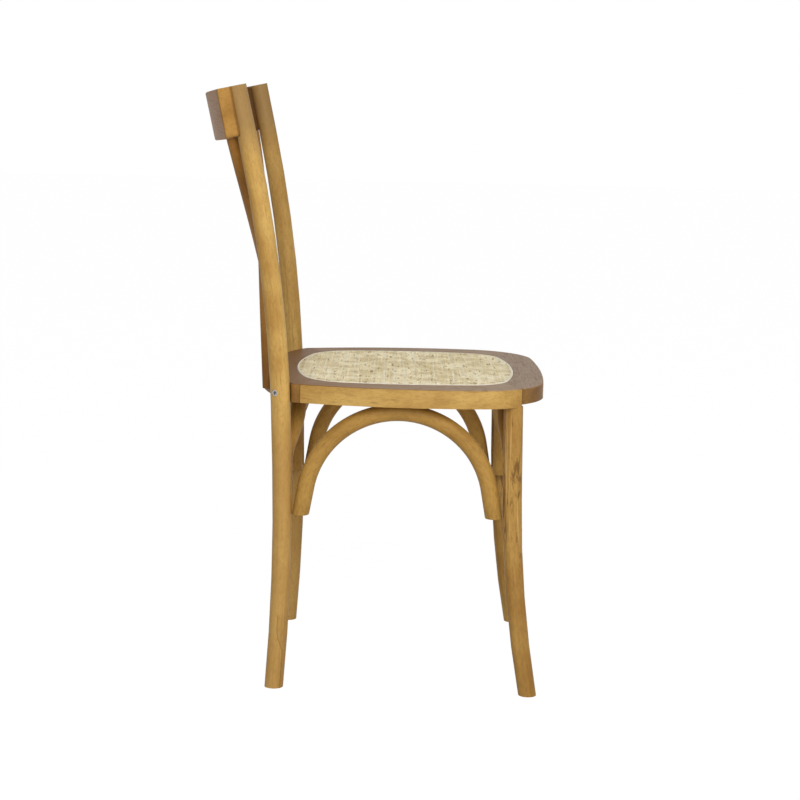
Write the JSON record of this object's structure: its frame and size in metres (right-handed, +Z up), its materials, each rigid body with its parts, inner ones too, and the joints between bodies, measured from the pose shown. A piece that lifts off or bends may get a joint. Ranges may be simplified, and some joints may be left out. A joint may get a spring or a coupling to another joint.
{
  "type": "dining chair",
  "caption": "Cross back dining chair in bent round wood with a bowed crest rail, arched braces and a woven cane seat.",
  "frame": {"origin": "on the floor, under the middle of the chair's bounding box", "axes": "+Z up; -Y is the chair's front, where the sitter's knees point; +X is the sitter's left"},
  "size_m": [0.4668, 0.5154, 0.88],
  "materials": {
    "post_wood": "satin stain and lacquer over visible grain along the bent rod",
    "leg_wood": "satin stain and lacquer over visible grain along the bent rod",
    "crest_wood": "satin stain and lacquer, grain along the rail",
    "rod_wood": "satin stain and lacquer over visible grain along the bent rod",
    "seat_end_wood": "satin stain and lacquer, grain along the rail",
    "seat_side_wood": "satin stain and lacquer, grain along the rail",
    "cane": "open woven cane, straw coloured and slightly glossy",
    "cane_bead": "pale reed pressed into the groove",
    "brace_wood": "satin stain and lacquer over visible grain along the bent rod",
    "bolt_steel": "bright plated steel",
    "nut_steel": "plated steel, hidden in the seat",
    "tongue_wood": "bare wood, hidden in the seat's joints"
  },
  "bodies": {
    "root": {"rear_post_left": "post_wood", "rear_post_right": "post_wood", "front_leg_left": "leg_wood", "front_leg_right": "leg_wood", "crest_rail": "crest_wood", "cross_rod_right_to_left": "rod_wood", "cross_rod_left_to_right": "rod_wood", "seat_front_rail": "seat_end_wood", "seat_rear_rail": "seat_end_wood", "seat_side_rail_left": "seat_side_wood", "seat_side_rail_right": "seat_side_wood", "cane_panel": "cane", "cane_bead": "cane_bead", "side_brace_left": "brace_wood", "side_brace_right": "brace_wood", "front_brace": "brace_wood", "rear_brace": "brace_wood", "post_bolts": "bolt_steel", "post_nuts": "nut_steel", "seat_joint_tongues": "tongue_wood"}
  },
  "joints": []
}
